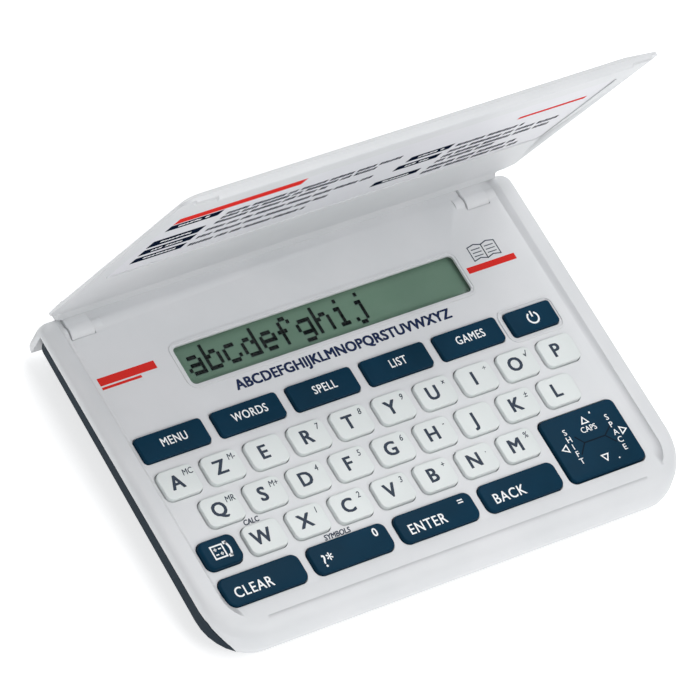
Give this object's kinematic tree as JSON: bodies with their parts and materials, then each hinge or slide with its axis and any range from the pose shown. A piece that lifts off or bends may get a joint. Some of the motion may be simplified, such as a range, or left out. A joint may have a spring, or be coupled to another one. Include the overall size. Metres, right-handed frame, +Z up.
{
  "type": "electronic dictionary",
  "caption": "Pocket electronic dictionary with a hinged lid, a letter keyboard, a row of function keys, a tilting arrow pad and a one-line display.",
  "frame": {"origin": "middle of the flat underside", "axes": "+X to the right along the keyboard, +Y from front to rear, +Z up; drawn with the lid open"},
  "size_m": [0.1242, 0.0842, 0.0802],
  "materials": {
    "white_shell": "fine moulded satin",
    "dark_shell": "fine moulded satin",
    "light_key": "satin",
    "dark_key": "satin",
    "window": "polished clear plastic",
    "lcd_glass": "reflective green-grey",
    "inner_frame": "moulded",
    "connector_strip": "striped rubber",
    "board": "green solder mask",
    "resin": "cured resin",
    "key_mat": "moulded silicone",
    "cell_can": "pressed can",
    "contact_strip": "sprung strip",
    "steel": "plain",
    "card": "printed and laminated"
  },
  "bodies": {
    "case": {"upper_case": "white_shell", "lower_case": "dark_shell", "case_screws": "steel", "display_window": "window", "lcd_glass": "lcd_glass", "lcd_frame": "inner_frame", "lcd_connector": "connector_strip", "circuit_board": "board", "chip_blob": "resin", "key_mat": "key_mat", "coin_cells": "cell_can", "battery_contacts": "contact_strip", "hinge_pins": "steel"},
    "lid": {"lid": "white_shell", "lid_card": "card"},
    "battery_door": {"battery_door": "dark_shell"},
    "key_a": {"key_a": "light_key"},
    "key_z": {"key_z": "light_key"},
    "key_e": {"key_e": "light_key"},
    "key_r": {"key_r": "light_key"},
    "key_t": {"key_t": "light_key"},
    "key_y": {"key_y": "light_key"},
    "key_u": {"key_u": "light_key"},
    "key_i": {"key_i": "light_key"},
    "key_o": {"key_o": "light_key"},
    "key_p": {"key_p": "light_key"},
    "key_q": {"key_q": "light_key"},
    "key_s": {"key_s": "light_key"},
    "key_d": {"key_d": "light_key"},
    "key_f": {"key_f": "light_key"},
    "key_g": {"key_g": "light_key"},
    "key_h": {"key_h": "light_key"},
    "key_j": {"key_j": "light_key"},
    "key_k": {"key_k": "light_key"},
    "key_l": {"key_l": "light_key"},
    "key_m": {"key_m": "light_key"},
    "key_w": {"key_w": "light_key"},
    "key_x": {"key_x": "light_key"},
    "key_c": {"key_c": "light_key"},
    "key_v": {"key_v": "light_key"},
    "key_b": {"key_b": "light_key"},
    "key_n": {"key_n": "light_key"},
    "function_key_1": {"function_key_1": "dark_key"},
    "function_key_2": {"function_key_2": "dark_key"},
    "function_key_3": {"function_key_3": "dark_key"},
    "function_key_4": {"function_key_4": "dark_key"},
    "function_key_5": {"function_key_5": "dark_key"},
    "power_key": {"power_key": "dark_key"},
    "tool_key": {"tool_key": "dark_key"},
    "clear_key": {"clear_key": "dark_key"},
    "symbol_key": {"symbol_key": "dark_key"},
    "enter_key": {"enter_key": "dark_key"},
    "back_key": {"back_key": "dark_key"},
    "nav_rocker": {"nav_rocker": "inner_frame"},
    "nav_pad": {"nav_pad": "dark_key"}
  },
  "joints": [
    {"name": "lid_hinge", "type": "hinge", "parent": "case", "child": "lid", "pos_m": [0, 0.0376, 0.0084], "axis": [-1, 0, 0], "range_deg": [-77, 46]},
    {"name": "battery_door_slide", "type": "slide", "parent": "case", "child": "battery_door", "axis": [0, 1, 0], "range_m": [0, 0.02]},
    {"name": "key_a_press", "type": "slide", "parent": "case", "child": "key_a", "axis": [0, 0, -1], "range_m": [0, 0.0008], "stiffness_N_per_m": 400, "springref_m": -0.0003},
    {"name": "key_z_press", "type": "slide", "parent": "case", "child": "key_z", "axis": [0, 0, -1], "range_m": [0, 0.0008], "stiffness_N_per_m": 400, "springref_m": -0.0003},
    {"name": "key_e_press", "type": "slide", "parent": "case", "child": "key_e", "axis": [0, 0, -1], "range_m": [0, 0.0008], "stiffness_N_per_m": 400, "springref_m": -0.0003},
    {"name": "key_r_press", "type": "slide", "parent": "case", "child": "key_r", "axis": [0, 0, -1], "range_m": [0, 0.0008], "stiffness_N_per_m": 400, "springref_m": -0.0003},
    {"name": "key_t_press", "type": "slide", "parent": "case", "child": "key_t", "axis": [0, 0, -1], "range_m": [0, 0.0008], "stiffness_N_per_m": 400, "springref_m": -0.0003},
    {"name": "key_y_press", "type": "slide", "parent": "case", "child": "key_y", "axis": [0, 0, -1], "range_m": [0, 0.0008], "stiffness_N_per_m": 400, "springref_m": -0.0003},
    {"name": "key_u_press", "type": "slide", "parent": "case", "child": "key_u", "axis": [0, 0, -1], "range_m": [0, 0.0008], "stiffness_N_per_m": 400, "springref_m": -0.0003},
    {"name": "key_i_press", "type": "slide", "parent": "case", "child": "key_i", "axis": [0, 0, -1], "range_m": [0, 0.0008], "stiffness_N_per_m": 400, "springref_m": -0.0003},
    {"name": "key_o_press", "type": "slide", "parent": "case", "child": "key_o", "axis": [0, 0, -1], "range_m": [0, 0.0008], "stiffness_N_per_m": 400, "springref_m": -0.0003},
    {"name": "key_p_press", "type": "slide", "parent": "case", "child": "key_p", "axis": [0, 0, -1], "range_m": [0, 0.0008], "stiffness_N_per_m": 400, "springref_m": -0.0003},
    {"name": "key_q_press", "type": "slide", "parent": "case", "child": "key_q", "axis": [0, 0, -1], "range_m": [0, 0.0008], "stiffness_N_per_m": 400, "springref_m": -0.0003},
    {"name": "key_s_press", "type": "slide", "parent": "case", "child": "key_s", "axis": [0, 0, -1], "range_m": [0, 0.0008], "stiffness_N_per_m": 400, "springref_m": -0.0003},
    {"name": "key_d_press", "type": "slide", "parent": "case", "child": "key_d", "axis": [0, 0, -1], "range_m": [0, 0.0008], "stiffness_N_per_m": 400, "springref_m": -0.0003},
    {"name": "key_f_press", "type": "slide", "parent": "case", "child": "key_f", "axis": [0, 0, -1], "range_m": [0, 0.0008], "stiffness_N_per_m": 400, "springref_m": -0.0003},
    {"name": "key_g_press", "type": "slide", "parent": "case", "child": "key_g", "axis": [0, 0, -1], "range_m": [0, 0.0008], "stiffness_N_per_m": 400, "springref_m": -0.0003},
    {"name": "key_h_press", "type": "slide", "parent": "case", "child": "key_h", "axis": [0, 0, -1], "range_m": [0, 0.0008], "stiffness_N_per_m": 400, "springref_m": -0.0003},
    {"name": "key_j_press", "type": "slide", "parent": "case", "child": "key_j", "axis": [0, 0, -1], "range_m": [0, 0.0008], "stiffness_N_per_m": 400, "springref_m": -0.0003},
    {"name": "key_k_press", "type": "slide", "parent": "case", "child": "key_k", "axis": [0, 0, -1], "range_m": [0, 0.0008], "stiffness_N_per_m": 400, "springref_m": -0.0003},
    {"name": "key_l_press", "type": "slide", "parent": "case", "child": "key_l", "axis": [0, 0, -1], "range_m": [0, 0.0008], "stiffness_N_per_m": 400, "springref_m": -0.0003},
    {"name": "key_m_press", "type": "slide", "parent": "case", "child": "key_m", "axis": [0, 0, -1], "range_m": [0, 0.0008], "stiffness_N_per_m": 400, "springref_m": -0.0003},
    {"name": "key_w_press", "type": "slide", "parent": "case", "child": "key_w", "axis": [0, 0, -1], "range_m": [0, 0.0008], "stiffness_N_per_m": 400, "springref_m": -0.0003},
    {"name": "key_x_press", "type": "slide", "parent": "case", "child": "key_x", "axis": [0, 0, -1], "range_m": [0, 0.0008], "stiffness_N_per_m": 400, "springref_m": -0.0003},
    {"name": "key_c_press", "type": "slide", "parent": "case", "child": "key_c", "axis": [0, 0, -1], "range_m": [0, 0.0008], "stiffness_N_per_m": 400, "springref_m": -0.0003},
    {"name": "key_v_press", "type": "slide", "parent": "case", "child": "key_v", "axis": [0, 0, -1], "range_m": [0, 0.0008], "stiffness_N_per_m": 400, "springref_m": -0.0003},
    {"name": "key_b_press", "type": "slide", "parent": "case", "child": "key_b", "axis": [0, 0, -1], "range_m": [0, 0.0008], "stiffness_N_per_m": 400, "springref_m": -0.0003},
    {"name": "key_n_press", "type": "slide", "parent": "case", "child": "key_n", "axis": [0, 0, -1], "range_m": [0, 0.0008], "stiffness_N_per_m": 400, "springref_m": -0.0003},
    {"name": "function_key_1_press", "type": "slide", "parent": "case", "child": "function_key_1", "axis": [0, 0, -1], "range_m": [0, 0.0008], "stiffness_N_per_m": 400, "springref_m": -0.0003},
    {"name": "function_key_2_press", "type": "slide", "parent": "case", "child": "function_key_2", "axis": [0, 0, -1], "range_m": [0, 0.0008], "stiffness_N_per_m": 400, "springref_m": -0.0003},
    {"name": "function_key_3_press", "type": "slide", "parent": "case", "child": "function_key_3", "axis": [0, 0, -1], "range_m": [0, 0.0008], "stiffness_N_per_m": 400, "springref_m": -0.0003},
    {"name": "function_key_4_press", "type": "slide", "parent": "case", "child": "function_key_4", "axis": [0, 0, -1], "range_m": [0, 0.0008], "stiffness_N_per_m": 400, "springref_m": -0.0003},
    {"name": "function_key_5_press", "type": "slide", "parent": "case", "child": "function_key_5", "axis": [0, 0, -1], "range_m": [0, 0.0008], "stiffness_N_per_m": 400, "springref_m": -0.0003},
    {"name": "power_key_press", "type": "slide", "parent": "case", "child": "power_key", "axis": [0, 0, -1], "range_m": [0, 0.0008], "stiffness_N_per_m": 400, "springref_m": -0.0003},
    {"name": "tool_key_press", "type": "slide", "parent": "case", "child": "tool_key", "axis": [0, 0, -1], "range_m": [0, 0.0008], "stiffness_N_per_m": 400, "springref_m": -0.0003},
    {"name": "clear_key_press", "type": "slide", "parent": "case", "child": "clear_key", "axis": [0, 0, -1], "range_m": [0, 0.0008], "stiffness_N_per_m": 400, "springref_m": -0.0003},
    {"name": "symbol_key_press", "type": "slide", "parent": "case", "child": "symbol_key", "axis": [0, 0, -1], "range_m": [0, 0.0008], "stiffness_N_per_m": 400, "springref_m": -0.0003},
    {"name": "enter_key_press", "type": "slide", "parent": "case", "child": "enter_key", "axis": [0, 0, -1], "range_m": [0, 0.0008], "stiffness_N_per_m": 400, "springref_m": -0.0003},
    {"name": "back_key_press", "type": "slide", "parent": "case", "child": "back_key", "axis": [0, 0, -1], "range_m": [0, 0.0008], "stiffness_N_per_m": 400, "springref_m": -0.0003},
    {"name": "nav_tilt_up_down", "type": "hinge", "parent": "case", "child": "nav_rocker", "pos_m": [0.04328, -0.02492, 0.0079], "axis": [1, 0, 0], "range_deg": [-2, 2], "stiffness_Nm_per_rad": 0.15},
    {"name": "nav_tilt_left_right", "type": "hinge", "parent": "nav_rocker", "child": "nav_pad", "pos_m": [0.04328, -0.02492, 0.0085], "axis": [0, 1, 0], "range_deg": [-2, 2], "stiffness_Nm_per_rad": 0.15}
  ]
}
